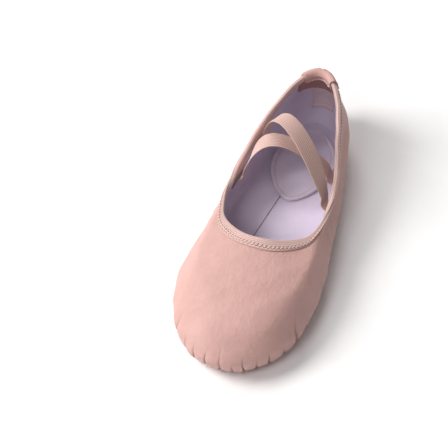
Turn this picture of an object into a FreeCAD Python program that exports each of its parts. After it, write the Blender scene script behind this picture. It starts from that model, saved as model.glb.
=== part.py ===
import FreeCAD, Part
import math
import os

# A soft split-sole ballet slipper. The toe points to -Y, the heel to +Y, +Z is up, and the
# origin is on the floor at the middle of the slipper. All lengths are millimetres.

# The outside of the leather is a net: six rings from the middle of the sole to the topline. A
# ring is (toe y, heel y, five width factors, five heights, lag), with the five stations from
# toe to heel. The half width is the factor times the sine of the angle round the ring, and a
# lag over 1 keeps a ring's points nearer the toe. The sole is flat out to the second ring.
SOLE_Z = 2.2
RINGS = (
    (-95.0, 100.0, (0.0, 0.0, 0.0, 0.0, 0.0), (SOLE_Z,) * 5, 1.0),
    (-104.0, 106.0, (56.0, 44.0, 33.0, 29.0, 34.0), (SOLE_Z,) * 5, 1.0),
    (-112.0, 112.0, (60.0, 48.0, 38.0, 34.0, 39.0), (6.0, 6.0, 6.0, 6.0, 7.0), 1.0),
    (-115.0, 115.0, (61.0, 50.0, 39.0, 35.0, 41.0), (15.0, 14.0, 13.0, 15.0, 19.0), 1.0),
    (-80.0, 110.0, (46.0, 39.0, 34.0, 31.0, 37.0), (34.0, 30.0, 27.0, 29.0, 39.0), 1.1),
    (-30.0, 103.0, (20.0, 33.0, 33.0, 29.0, 27.0), (37.0, 31.0, 33.0, 44.0, 55.0), 1.4),
)
RING_LEVELS = (0.0, 0.30, 0.37, 0.46, 0.74, 1.0)
HALF_STEPS = 22
OUTLINE_POINTS = 40
FLAT_LEVEL = RING_LEVELS[1]
WALL_SHARES = (0.0, 0.03, 0.07, 0.12, 0.19, 0.28, 0.39, 0.52, 0.66, 0.79, 0.91, 1.0)

# A box this size is larger than the whole slipper; cuts are made with boxes.
ROOM = 400.0

# Layers, as depths inward from the outside of the leather.
GAP = 0.15
LEATHER = 1.2
LINING = 0.8
TAPE = 0.8
INSOLE = 1.6
INSIDE = LEATHER + GAP + LINING
PATCH_GAP = 0.7
RAW_EDGE = 3.0
BINDING_OUT = 8.0
BINDING_IN = 7.0
CORD_CORNERS = ((2.6, 0.3), (1.1, 0.3), (1.1, 1.9), (2.6, 1.9))

# Each insole cover: its inset from the widest ring, and where it starts and ends.
INSOLE_INSET = 8.5
INSOLE_FOREFOOT = (-110.0, -9.0)
INSOLE_HEEL = (32.0, 99.0)

# The soft arch folds about a line across the sole; the folding zone widens upward.
FOLD_Y = -2.0
FOLD_RANGE_DEG = 30.0
FOLD_HALF_DEG = FOLD_RANGE_DEG / 2 + 2.0
FOLD_CLEARANCE = 0.4

# Suede pads under the ball and the heel: (toe y, heel y, widest half width, where it is widest).
PAD_THICK = 1.9
PAD_SWELL = 0.35
FOREFOOT_PAD = (-93.0, -13.0, 31.0, 0.42)
HEEL_PAD = (58.0, 104.0, 19.5, 0.60)
STITCH_LONG = 2.6
STITCH_SHORT = 2.0
STITCH_PITCH = 3.4
STITCH_WIDE = 0.7
STITCH_HIGH = 0.4
STITCH_LIFT = 0.15
ROW_SPACING = 4.2
FIRST_ROW = 0.6
GROOVE_WIDE = 1.5
GROOVE_DEEP = 0.8

# Elastics: the angles round the topline where the ends leave the wall (left is negative), and
# the heights that pull the arch up near its left and its right end.
STRAP_WIDE = 11.5
STRAP_THICK = 0.9
STRAPS = {
    "upper": (-2.02, 1.66, 102.0, 60.0),
    "lower": (-1.75, 1.89, 88.0, 42.0),
}
STRAP_CRESTS = (0.11, 0.66)
STRAP_START = 9.5
STRAP_FOOT_DEPTH = 5.2
STRAP_RIM_DEPTH = 7.2
STRAP_ABOVE_RIM = 1.0
STRAP_END_TOP = 12.5
STRAP_END_BOTTOM = 19.5
STRAP_END_THICK = 1.1
STRAP_TURN_SHARE = 0.75
STRAP_SECTIONS = 18

# The heel: the leather casing over the rim, and the patches below it inside.
TAB_HALF_WIDE = 11.5
TAB_OUT = 9.5
TAB_IN = 6.5
TAB_THICK = 1.0
TAB_RISE = 1.4
FACING_HIGH = 15.0
FACING_HALF_ANGLE = 0.44
SEAM_TAPE_HIGH = 16.0
SEAM_TAPE_HALF_ANGLE = 0.22


def vec(x, y, z):
    return FreeCAD.Vector(x, y, z)


def curve_through(knots, values, at):
    """A smooth curve through the values that never overshoots them, straight past its ends."""
    last = len(knots) - 1
    slopes = [(values[i + 1] - values[i]) / (knots[i + 1] - knots[i]) for i in range(last)]
    if at <= knots[0]:
        return values[0] + slopes[0] * (at - knots[0])
    if at >= knots[last]:
        return values[last] + slopes[-1] * (at - knots[last])

    def tangent(i):
        if i in (0, last):
            return slopes[0] if i == 0 else slopes[-1]
        before, after = slopes[i - 1], slopes[i]
        return 2 * before * after / (before + after) if before * after > 0 else 0.0

    i = max(k for k in range(last) if knots[k] <= at)
    span = knots[i + 1] - knots[i]
    t = (at - knots[i]) / span
    rise = values[i + 1] - values[i]
    return (
        values[i]
        + rise * t * t * (3 - 2 * t)
        + span * tangent(i) * t * (1 - t) ** 2
        - span * tangent(i + 1) * t * t * (1 - t)
    )


def ring_point(ring, angle):
    """A ring's point: angle 0 is the toe, pi the heel, and +X is between them."""
    toe_y, heel_y, widths, heights, lag = ring
    share = (1 - math.cos(angle)) / 2
    stations = (0.0, 0.25, 0.5, 0.75, 1.0)
    return vec(
        math.sin(angle) * curve_through(stations, widths, share),
        toe_y + (heel_y - toe_y) * share**lag,
        curve_through(stations, heights, share),
    )


def skin_point(angle, level):
    points = [ring_point(ring, angle) for ring in RINGS]
    return vec(
        curve_through(RING_LEVELS, [p.x for p in points], level),
        curve_through(RING_LEVELS, [p.y for p in points], level),
        curve_through(RING_LEVELS, [p.z for p in points], level),
    )


def skin_frame(angle, level):
    """At a point of the skin: the way along the topline, the way up the wall, the way out."""
    step = 1e-3
    along = skin_point(angle + step, level) - skin_point(angle - step, level)
    up = skin_point(angle, level + step) - skin_point(angle, level - step)
    out = along.cross(up)
    if level <= FLAT_LEVEL:
        return vec(0, 1, 0), vec(1, 0, 0), vec(0, 0, -1)
    return along.normalize(), up.normalize(), out.normalize()


def layer_point(angle, level, depth):
    return skin_point(angle, level) - skin_frame(angle, level)[2] * depth


def travel_speed(angle, level):
    """Millimetres travelled round the skin for each radian of angle."""
    step = 0.01
    return (skin_point(angle + step, level) - skin_point(angle, level)).Length / step


def below_rim(angle, distance):
    """The level that lies a distance below the topline."""
    side = ring_point(RINGS[-1], angle) - ring_point(RINGS[-2], angle)
    return 1.0 - distance * (RING_LEVELS[-1] - RING_LEVELS[-2]) / side.Length


def spread(start, end, steps):
    return [start + (end - start) * i / steps for i in range(steps + 1)]


def even_knots(poles):
    """Degree, knots and multiplicities of a curve from its first pole to its last."""
    degree = min(3, poles - 1)
    knots = list(range(poles - degree + 1))
    return degree, knots, [degree + 1] + [1] * (poles - degree - 1) + [degree + 1]


def smooth_surface(rows):
    """A surface that follows the rows of points closely: cubic, or straight where there are two."""
    degree_u, knots_u, mults_u = even_knots(len(rows))
    degree_v, knots_v, mults_v = even_knots(len(rows[0]))
    surface = Part.BSplineSurface()
    surface.buildFromPolesMultsKnots(
        rows, mults_u, mults_v, knots_u, knots_v, False, False, degree_u, degree_v
    )
    return surface.toShape()


def closed_solid(faces):
    sewn = Part.makeCompound(faces)
    sewn.sewShape()
    solid = Part.makeSolid(sewn.Shells[0])
    if solid.Volume < 0:
        solid.reverse()
    return solid


def skin_patch(angles, levels, outer_depth, inner_depth):
    """A piece of the wall between two depths. levels(angle) lists its levels, low to high."""
    outer, inner = [
        [[layer_point(a, v, depth) for v in levels(a)] for a in angles]
        for depth in (outer_depth, inner_depth)
    ]
    faces = [smooth_surface(outer), smooth_surface(inner)]
    faces += [smooth_surface([outer[end], inner[end]]) for end in (0, -1)]
    for end in (0, -1):
        rows = [[row[end] for row in outer], [row[end] for row in inner]]
        faces.append(smooth_surface(rows))
    return closed_solid(faces)


def swept_section(sections):
    """A solid whose corner lines run smoothly through the matching corners of the sections."""
    lines = [list(corner) for corner in zip(*sections)]
    faces = [smooth_surface([a, b]) for a, b in zip(lines, lines[1:] + lines[:1])]
    return closed_solid(faces + [flat_end(sections[0]), flat_end(sections[-1])])


def flat_end(corners):
    if len(corners) == 4:
        return smooth_surface([[corners[0], corners[1]], [corners[3], corners[2]]])
    return Part.Face(Part.makePolygon(list(corners) + [corners[0]]))


def mirrored(shape):
    return shape.mirror(vec(0, 0, 0), vec(1, 0, 0))


def both_sides(half):
    """The half at +X joined to its mirror image."""
    return half.fuse(mirrored(half)).removeSplitter()


def half_angles(end=math.pi):
    return spread(0.0, end, HALF_STEPS)


def wall_rows(depth):
    """Points up the +X wall at each angle, from the edge of the flat sole to the raw edge."""
    rows = []
    for angle in half_angles():
        top = below_rim(angle, RAW_EDGE)
        levels = [FLAT_LEVEL + (top - FLAT_LEVEL) * share for share in WALL_SHARES]
        row = [layer_point(angle, level, depth) for level in levels]
        if angle in (0.0, math.pi):
            row = [vec(0, p.y, p.z) for p in row]
        rows.append(row)
    return rows


def flat_sole(rows):
    """The flat face inside the lowest line of the wall and its mirror image."""
    poles = [row[0] for row in rows]
    degree, knots, mults = even_knots(len(poles))
    curve = Part.BSplineCurve()
    curve.buildFromPolesMultsKnots(poles, mults, knots, False, degree)
    edge = curve.toShape()
    return Part.Face(Part.Wire([edge, mirrored(edge)]))


def wall_layer(outer_depth, inner_depth):
    """A whole layer of the slipper: under the foot, up the walls, to just below the topline."""
    outer, inner = wall_rows(outer_depth), wall_rows(inner_depth)
    raw_edge = [[row[-1] for row in outer], [row[-1] for row in inner]]
    half = [smooth_surface(rows) for rows in (outer, inner, raw_edge)]
    faces = half + [mirrored(face) for face in half]
    return closed_solid(faces + [flat_sole(outer), flat_sole(inner)])


def rim_band(corners):
    """A band round the topline, from corners given as (distance below the rim, depth)."""
    sections = []
    for angle in half_angles():
        section = [layer_point(angle, below_rim(angle, low), depth) for low, depth in corners]
        if angle in (0.0, math.pi):
            section = [vec(0, p.y, p.z) for p in section]
        sections.append(section)
    return both_sides(swept_section(sections))


def rim_cover(outside, inside, thick, low_out, low_in, rise):
    """A tape folded over the rim: its two legs and its fold, as corners for rim_band."""
    mid_out = low_out / 2
    mid_in = low_in / 2
    return [
        (low_out, outside - thick),
        (mid_out, outside - thick),
        (-rise, outside - thick),
        (-rise, inside + thick),
        (mid_in, inside + thick),
        (low_in, inside + thick),
        (low_in, inside),
        (mid_in, inside),
        (thick - rise, inside),
        (thick - rise, outside),
        (mid_out, outside),
        (low_out, outside),
    ]


def half_space(front):
    """The room in front of, or behind, the folding zone of the arch."""
    box = Part.makeBox(ROOM, ROOM, ROOM)
    away = -1 if front else 1
    start = -ROOM if front else 0
    box.translate(vec(-ROOM / 2, start + away * FOLD_CLEARANCE, -ROOM / 2))
    box.rotate(vec(0, 0, 0), vec(1, 0, 0), -away * FOLD_HALF_DEG)
    box.translate(vec(0, FOLD_Y, 0))
    return box


def zones(whole):
    """The part of a layer in front of the fold, the part in it, and the part behind it."""
    front = whole.common(half_space(True))
    rear = whole.common(half_space(False))
    trim = FOLD_CLEARANCE / 2
    waist = whole.cut([grown(half_space(True), trim), grown(half_space(False), -trim)])
    solids = [s for s in waist.Solids if s.Volume > 1.0]
    return {"front": front, "waist": Part.makeCompound(solids), "rear": rear}


def grown(box, shift):
    """A half space moved a little toward the folding zone."""
    moved = box.copy()
    moved.translate(vec(0, shift, 0))
    return moved


def pad_outline(pad, inset):
    """The egg-shaped edge of a pad, moved inward by inset."""
    toe_y, heel_y, half_wide, widest = pad
    toe_y += inset
    heel_y -= inset
    half_wide -= inset
    power = math.log(0.5) / math.log(widest)
    points = []
    for i in range(OUTLINE_POINTS):
        angle = 2 * math.pi * i / OUTLINE_POINTS
        share = (1 - math.cos(angle)) / 2
        swell = math.sin(math.pi * share**power) if 0 < share < 1 else 0.0
        side = 1 if math.sin(angle) >= 0 else -1
        roundness = math.sqrt(max(share * (1 - share), 0.0)) * 2
        x = side * half_wide * (PAD_SWELL * swell + (1 - PAD_SWELL) * roundness)
        points.append(vec(x, toe_y + (heel_y - toe_y) * share, 0))
    curve = Part.BSplineCurve()
    curve.interpolate(Points=points, PeriodicFlag=True)
    return curve


def slab(curve, low, high):
    face = Part.Face(Part.Wire(curve.toShape()))
    solid = face.extrude(vec(0, 0, high - low))
    solid.translate(vec(0, 0, low))
    return solid


def row_spots(curve):
    """Evenly spaced places along a closed curve, with the way along it at each."""
    edge = curve.toShape()
    count = round(edge.Length / STITCH_PITCH)
    spots = []
    for i in range(count):
        at = edge.getParameterByLength(edge.Length * i / count)
        spots.append((edge.valueAt(at), edge.tangentAt(at)))
    return spots


def stitch(middle, along, out, length=STITCH_LONG):
    """One stitch, a small block lying on the surface whose outward way is out."""
    across = out.cross(along).normalize()
    block = Part.makeBox(length, STITCH_WIDE, STITCH_HIGH)
    block.translate(vec(-length / 2, -STITCH_WIDE / 2, 0))
    turn = FreeCAD.Rotation(along, across, out, "ZXY")
    block.Placement = FreeCAD.Placement(middle, turn).multiply(block.Placement)
    return block


def sole_pad(pad, rows):
    """A suede pad with a shallow groove for each row of stitches."""
    solid = slab(pad_outline(pad, 0), 0, PAD_THICK)
    for row in range(rows):
        middle = ROW_SPACING * (row + FIRST_ROW)
        outer = slab(pad_outline(pad, middle - GROOVE_WIDE / 2), -1, GROOVE_DEEP)
        inner = slab(pad_outline(pad, middle + GROOVE_WIDE / 2), -2, GROOVE_DEEP + 1)
        solid = solid.cut(outer.cut(inner))
    return solid


def pad_stitches(pad, row):
    down = vec(0, 0, -1)
    curve = pad_outline(pad, ROW_SPACING * (row + FIRST_ROW))
    lift = vec(0, 0, GROOVE_DEEP - STITCH_LIFT)
    spots = row_spots(curve)
    return Part.makeCompound([stitch(p + lift, t, down, STITCH_SHORT) for p, t in spots])


def arch_stitches(start, end):
    """The small stitches of the centre seam under the arch."""
    down = vec(0, 0, -1)
    count = int((end - start) / STITCH_PITCH)
    places = [vec(0, start + STITCH_PITCH * (i + 0.5), SOLE_Z - GAP) for i in range(count)]
    return Part.makeCompound([stitch(p, vec(0, 1, 0), down) for p in places])


def insole(toe_y, heel_y):
    """The part of the insole between two cross lines, lying on the lining."""
    low = SOLE_Z + INSIDE + GAP
    foot_half_long = 115.0
    points = []
    for i in range(OUTLINE_POINTS):
        p = ring_point(RINGS[2], 2 * math.pi * i / OUTLINE_POINTS)
        reach = math.hypot(p.x, p.y / 3)
        wide = p.x * (1 - INSOLE_INSET / reach)
        points.append(vec(wide, p.y * (1 - INSOLE_INSET / foot_half_long), 0))
    curve = Part.BSplineCurve()
    curve.interpolate(Points=points, PeriodicFlag=True)
    room = Part.makeBox(ROOM, heel_y - toe_y, ROOM, vec(-ROOM / 2, toe_y, -ROOM / 2))
    return slab(curve, low, low + INSOLE).common(room)


def binding_stitches(first_y, last_y):
    """The slanted stitches along the outer edge of the binding, between two cross lines."""
    blocks = []
    depth = -GAP * 2 - TAPE - STITCH_LIFT
    edge = 1.6
    tab_end = math.asin(TAB_HALF_WIDE / RINGS[-1][2][-1]) + 0.1
    angle = 0.02
    while angle < math.pi - tab_end:
        level = below_rim(angle, BINDING_OUT - edge)
        place = layer_point(angle, level, depth)
        along, up, out = skin_frame(angle, level)
        if first_y < place.y < last_y:
            slant = (along + up * 0.7).normalize()
            square = (slant - out * slant.dot(out)).normalize()
            block = stitch(place, square, out, 2.2)
            blocks += [block, block.mirror(vec(0, 0, 0), vec(1, 0, 0))]
        angle += STITCH_PITCH / travel_speed(angle, level)
    return Part.makeCompound(blocks)


def heel_tab():
    """The leather casing folded over the top of the heel."""
    outside = -GAP * 3 - TAPE
    inside = INSIDE + GAP * 3 + TAPE
    band = rim_band(rim_cover(outside, inside, TAB_THICK, TAB_OUT, TAB_IN, TAB_RISE))
    room = Part.makeBox(2 * TAB_HALF_WIDE, ROOM, ROOM, vec(-TAB_HALF_WIDE, 0, 0))
    return band.common(room)


def heel_tab_stitches():
    outside = -GAP * 3 - TAPE - TAB_THICK - STITCH_LIFT
    reach = 0.5
    edge = 1.8
    angle = math.pi - reach
    blocks = []
    while angle < math.pi + reach:
        level = below_rim(angle, TAB_OUT - edge)
        place = layer_point(angle, level, outside)
        along, up, out = skin_frame(angle, level)
        if abs(place.x) < TAB_HALF_WIDE - 2:
            blocks.append(stitch(place, along, out, STITCH_SHORT))
        angle += STITCH_PITCH / travel_speed(angle, level)
    return Part.makeCompound(blocks)


def inside_heel_patch(half_angle, top, bottom, thick, depth):
    """A patch on the inside of the heel, from top to bottom below the rim."""

    def levels(angle):
        return [below_rim(angle, d) for d in spread(bottom, top, 6)]

    angles = spread(math.pi - half_angle, math.pi + half_angle, 8)
    return skin_patch(angles, levels, depth, depth + thick)


def facing_top():
    """The facing starts below the binding and the casing."""
    return max(TAB_IN, BINDING_IN) + 0.8


def heel_facing():
    top = facing_top()
    depth = INSIDE + PATCH_GAP
    return inside_heel_patch(FACING_HALF_ANGLE, top, top + FACING_HIGH, LEATHER, depth)


def seam_tape_top():
    return facing_top() + FACING_HIGH + 0.8


def back_seam_tape():
    top = seam_tape_top()
    depth = INSIDE + PATCH_GAP
    return inside_heel_patch(SEAM_TAPE_HALF_ANGLE, top, top + SEAM_TAPE_HIGH, TAPE, depth)


def back_seam_stitches():
    """Two upright rows of stitches on the back-seam tape."""
    top = seam_tape_top() + 2.0
    depth = INSIDE + PATCH_GAP + TAPE + STITCH_LIFT + 0.1
    row = SEAM_TAPE_HALF_ANGLE * 0.7
    blocks = []
    for angle in (math.pi - row, math.pi + row):
        for i in range(4):
            level = below_rim(angle, top + (i + 0.5) * STITCH_PITCH)
            place = layer_point(angle, level, depth)
            along, up, out = skin_frame(angle, level)
            blocks.append(stitch(place, up, out * -1, STITCH_SHORT))
    return Part.makeCompound(blocks)


def bezier(controls, t):
    total = vec(0, 0, 0)
    degree = len(controls) - 1
    for i, control in enumerate(controls):
        total += control * (math.comb(degree, i) * (1 - t) ** (degree - i) * t**i)
    return total


def strap_controls(name):
    """Six points that shape an elastic's middle line, from its left foot to its right foot."""
    left, right, left_pull, right_pull = STRAPS[name]
    feet = [layer_point(a, below_rim(a, STRAP_START), STRAP_FOOT_DEPTH) for a in (left, right)]
    lips = [layer_point(a, below_rim(a, -STRAP_ABOVE_RIM), STRAP_RIM_DEPTH) for a in (left, right)]
    reach = lips[1] - lips[0]
    crests = [lips[0] + reach * share for share in STRAP_CRESTS]
    crests[0].z = left_pull
    crests[1].z = right_pull
    return [feet[0], lips[0], crests[0], crests[1], lips[1], feet[1]]


def strap(name):
    """An elastic's free part: a ribbon along the walls at its feet and across in the middle."""
    controls = strap_controls(name)
    chord = controls[-1] - controls[0]
    middle = vec(-chord.y, chord.x, 0).normalize()
    foot_ways = []
    for angle in STRAPS[name][:2]:
        along = skin_frame(angle, below_rim(angle, STRAP_START))[0]
        foot_ways.append(along if along.y > 0 else along * -1)
    step = 0.5 / STRAP_SECTIONS
    sections = []
    for t in spread(0.0, 1.0, STRAP_SECTIONS):
        point = bezier(controls, t)
        ahead = (bezier(controls, t + step) - bezier(controls, t - step)).normalize()
        rise = min((1 - abs(2 * t - 1)) / STRAP_TURN_SHARE, 1.0)
        share = rise * rise * (3 - 2 * rise)
        way = foot_ways[0 if t < 0.5 else 1] * (1 - share) + middle * share
        side = (way - ahead * way.dot(ahead)).normalize()
        over = ahead.cross(side) * (STRAP_THICK / 2)
        side = side * (STRAP_WIDE / 2)
        sections.append(
            [point - side - over, point + side - over, point + side + over, point - side + over]
        )
    return swept_section(sections)


def strap_end(name, side):
    """A sewn end: the elastic folded on itself, flat against the lining."""
    middle = STRAPS[name][side]
    half = STRAP_WIDE / 2 / travel_speed(middle, below_rim(middle, STRAP_START))

    def levels(angle):
        return [below_rim(angle, d) for d in spread(STRAP_END_BOTTOM, STRAP_END_TOP, 3)]

    angles = spread(middle - half, middle + half, 3)
    depth = INSIDE + PATCH_GAP
    return skin_patch(angles, levels, depth, depth + STRAP_END_THICK)


def all_nodes():
    nodes = {}
    skin = {
        "upper": wall_layer(0.0, LEATHER),
        "lining": wall_layer(LEATHER + GAP, INSIDE),
        "binding": rim_band(
            rim_cover(-GAP * 2, INSIDE + GAP, TAPE, BINDING_OUT, BINDING_IN, 0.0)
        ),
        "topline_cord": rim_band(CORD_CORNERS),
    }
    for name, whole in skin.items():
        for zone, shape in zones(whole).items():
            nodes[f"{name}_{zone}"] = shape
    nodes["forefoot_sole_pad"] = sole_pad(FOREFOOT_PAD, 2)
    nodes["forefoot_stitches_outer"] = pad_stitches(FOREFOOT_PAD, 0)
    nodes["forefoot_stitches_inner"] = pad_stitches(FOREFOOT_PAD, 1)
    nodes["heel_sole_pad"] = sole_pad(HEEL_PAD, 1)
    nodes["heel_pad_stitches"] = pad_stitches(HEEL_PAD, 0)
    nodes["arch_seam_stitches"] = arch_stitches(FOLD_Y + 3, HEEL_PAD[0] - 2)
    nodes["insole_forefoot"] = insole(*INSOLE_FOREFOOT)
    nodes["insole_heel"] = insole(*INSOLE_HEEL)
    nodes["binding_stitches_front"] = binding_stitches(-60.0, FOLD_Y - 13.0)
    nodes["binding_stitches_rear"] = binding_stitches(FOLD_Y + 13.0, 110.0)
    nodes["heel_tab"] = heel_tab()
    nodes["heel_tab_stitches"] = heel_tab_stitches()
    nodes["heel_facing"] = heel_facing()
    nodes["back_seam_tape"] = back_seam_tape()
    nodes["back_seam_stitches"] = back_seam_stitches()
    for name in STRAPS:
        nodes[f"strap_{name}"] = strap(name)
        nodes[f"strap_{name}_end_left"] = strap_end(name, 0)
        nodes[f"strap_{name}_end_right"] = strap_end(name, 1)
    return nodes


def main():
    os.makedirs("parts", exist_ok=True)
    for name, shape in all_nodes().items():
        box = shape.BoundBox
        print(
            f"{name:26s} valid {shape.isValid()} solids {len(shape.Solids):3d} "
            f"volume {shape.Volume:9.1f} x {box.XMin:6.1f} {box.XMax:6.1f} "
            f"y {box.YMin:6.1f} {box.YMax:6.1f} z {box.ZMin:5.1f} {box.ZMax:5.1f}"
        )
        shape.exportStep(f"parts/{name}.step")


main()
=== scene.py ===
import math

import bmesh
import bpy
import numpy as np
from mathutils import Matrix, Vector


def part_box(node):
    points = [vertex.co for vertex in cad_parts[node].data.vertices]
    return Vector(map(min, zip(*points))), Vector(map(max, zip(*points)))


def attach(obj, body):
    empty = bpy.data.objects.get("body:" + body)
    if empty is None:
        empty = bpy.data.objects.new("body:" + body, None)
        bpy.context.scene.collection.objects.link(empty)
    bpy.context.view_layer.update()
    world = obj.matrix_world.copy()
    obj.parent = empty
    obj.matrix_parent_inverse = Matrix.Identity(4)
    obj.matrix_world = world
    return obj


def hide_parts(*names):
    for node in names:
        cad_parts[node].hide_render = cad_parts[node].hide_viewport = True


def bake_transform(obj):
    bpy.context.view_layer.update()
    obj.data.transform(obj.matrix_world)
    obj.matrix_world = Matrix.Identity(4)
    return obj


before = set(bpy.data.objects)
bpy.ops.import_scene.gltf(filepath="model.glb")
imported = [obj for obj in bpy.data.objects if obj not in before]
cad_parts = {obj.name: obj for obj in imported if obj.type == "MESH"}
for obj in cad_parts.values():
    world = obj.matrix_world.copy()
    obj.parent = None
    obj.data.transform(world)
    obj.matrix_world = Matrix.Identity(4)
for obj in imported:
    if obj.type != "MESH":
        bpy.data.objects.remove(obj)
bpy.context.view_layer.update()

# The slipper is a net of rings, as in the CAD model: toe to -Y, heel to +Y, millimetres here
# and metres in the meshes. A ring is (toe y, heel y, width factors, heights, lag), with five
# stations from toe to heel; a lag over 1 keeps its points nearer the toe.
MM = 0.001
SOLE_Z = 2.2
RINGS = (
    (-95.0, 100.0, (0.0, 0.0, 0.0, 0.0, 0.0), (SOLE_Z,) * 5, 1.0),
    (-104.0, 106.0, (56.0, 44.0, 33.0, 29.0, 34.0), (SOLE_Z,) * 5, 1.0),
    (-112.0, 112.0, (60.0, 48.0, 38.0, 34.0, 39.0), (6.0, 6.0, 6.0, 6.0, 7.0), 1.0),
    (-115.0, 115.0, (61.0, 50.0, 39.0, 35.0, 41.0), (15.0, 14.0, 13.0, 15.0, 19.0), 1.0),
    (-80.0, 110.0, (46.0, 39.0, 34.0, 31.0, 37.0), (34.0, 30.0, 27.0, 29.0, 39.0), 1.1),
    (-30.0, 103.0, (20.0, 33.0, 33.0, 29.0, 27.0), (37.0, 31.0, 33.0, 44.0, 55.0), 1.4),
)
STATIONS = (0.0, 0.25, 0.5, 0.75, 1.0)
RING_LEVELS = (0.0, 0.30, 0.37, 0.46, 0.74, 1.0)

# Layers, as depths inward from the outside of the leather, and where they end below the rim.
LEATHER = 0.95
LINING_OUT = 1.05
LINING_IN = 1.55
RAW_EDGE = 3.0
TAPE_GAP = 0.12
TAPE_THICK = 0.62
BINDING_LOW = 8.0
BINDING_LOW_INSIDE = 6.6

# Egg outlines: toe end y, heel end y, half width, and where the widest place is as a share.
FOREFOOT_PAD = (-93.0, -13.0, 31.0, 0.42)
HEEL_PAD = (58.0, 104.0, 19.5, 0.60)
HEEL_INSOLE = (33.0, 99.0, 20.5, 0.52)
PAD_SWELL = 0.35
PAD_THICK = 1.95

# Rows of stitches: how far in from the edge, how far apart the needle holes are, how high.
ROW_INSETS = (2.5, 6.7)
SOLE_PITCH = 3.4
SOLE_ROW_Z = 0.62
INSOLE_ROW_INSET = 3.0
INSOLE_PITCH = 2.9
THREAD_RADIUS = 0.2
UP = np.array([0.0, 0.0, 1.0])
DOWN = np.array([0.0, 0.0, -1.0])

# Points round each layer of the wall and up it.
WALL_GRID = (590, 80)

# The gathers round the toe: how many, how far round to each side, how far off their even
# places, how deep and up to which level.
PLEATS = 22
PLEAT_SPAN = 1.75
PLEAT_SHIFT = 0.36
PLEAT_DEPTHS = (0.3, 1.2)
PLEAT_TOPS = (0.47, 0.62)
BLUNT_TOE = 0.62
QUARTER = math.pi / 2
SEED = 7

# How far the other shapes of the leather stand out or dip in.
DENT_DEPTH = 1.1
VALLEY_DEPTH = 1.3
WRINKLE_HEIGHT = 0.28
SEAM_RIDGE = 0.22
SEAM_GROOVE = 0.5

# Under the arch the leather lifts off the floor: how far, and its middle and half length in y.
ARCH_LIFT = 0.9
ARCH_Y = 24
ARCH_HALF = 22


# ---------------- shape of the slipper


def curve_through(knots, values, at):
    """A smooth curve through the values that never overshoots them, straight past its ends."""
    at = np.asarray(at, float)
    values = [np.asarray(v, float) for v in values]
    last = len(knots) - 1
    slopes = [(values[i + 1] - values[i]) / (knots[i + 1] - knots[i]) for i in range(last)]

    def tangent(i):
        if i in (0, last):
            return slopes[0] if i == 0 else slopes[-1]
        before, after = slopes[i - 1], slopes[i]
        total = np.where(before + after == 0, 1, before + after)
        return np.where(before * after > 0, 2 * before * after / total, 0.0)

    result = values[0] + slopes[0] * (at - knots[0])
    for i in range(last):
        span = knots[i + 1] - knots[i]
        t = np.clip((at - knots[i]) / span, 0, 1)
        piece = (
            values[i]
            + (values[i + 1] - values[i]) * t * t * (3 - 2 * t)
            + span * tangent(i) * t * (1 - t) ** 2
            - span * tangent(i + 1) * t * t * (1 - t)
        )
        result = np.where(at >= knots[i], piece, result)
    return np.where(at > knots[last], values[last] + slopes[-1] * (at - knots[last]), result)


def ring_points(ring, angle):
    toe_y, heel_y, widths, heights, lag = ring
    share = (1 - np.cos(angle)) / 2
    x = np.sin(angle) * curve_through(STATIONS, widths, share)
    y = toe_y + (heel_y - toe_y) * share**lag
    return np.stack([x, y, curve_through(STATIONS, heights, share)], -1)


def smooth_skin(angle, level):
    angle, level = np.broadcast_arrays(np.asarray(angle, float), np.asarray(level, float))
    rings = [ring_points(ring, angle) for ring in RINGS]
    return np.stack(
        [curve_through(RING_LEVELS, [p[..., k] for p in rings], level) for k in range(3)], -1
    )


def unit(v):
    return v / np.maximum(np.linalg.norm(v, axis=-1, keepdims=True), 1e-12)


def skin_frame(angle, level):
    """The way along the topline, the way up the wall and the way out, at points of the skin."""
    step = 1e-3
    along = smooth_skin(angle + step, level) - smooth_skin(angle - step, level)
    up = smooth_skin(angle, level + step) - smooth_skin(angle, level - step)
    out = np.cross(along, up)
    length = np.linalg.norm(out, axis=-1, keepdims=True)
    out = np.where(length > 1e-9, out / np.maximum(length, 1e-12), np.array([0.0, 0.0, -1.0]))
    return unit(along), unit(up), out


def below_rim(angle, distance):
    """The level that lies a distance below the topline."""
    side = ring_points(RINGS[-1], angle) - ring_points(RINGS[-2], angle)
    span = RING_LEVELS[-1] - RING_LEVELS[-2]
    return 1.0 - distance * span / np.linalg.norm(side, axis=-1)


def ease(low, high, value):
    """0 below low, 1 above high, and smooth between."""
    t = np.clip((value - low) / (high - low), 0, 1)
    return t * t * (3 - 2 * t)


def hill(value, middle, half_wide):
    return np.exp(-(((value - middle) / half_wide) ** 2))


def soft_noise(points, size, seed=0):
    """Smooth uneven values from about -1 to 1, with bumps of the given size."""
    draw = np.random.default_rng(SEED + seed)
    total = np.zeros(points.shape[:-1])
    for _ in range(7):
        way = draw.normal(size=3)
        way = way / np.linalg.norm(way) * draw.uniform(0.6, 1.5) * 2 * math.pi / size
        total += np.sin(points @ way + draw.uniform(0, 2 * math.pi))
    return total / 3.2


def signed_angle(angle):
    """Angles from -pi to pi, with the toe at 0."""
    return (angle + math.pi) % (2 * math.pi) - math.pi


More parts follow.
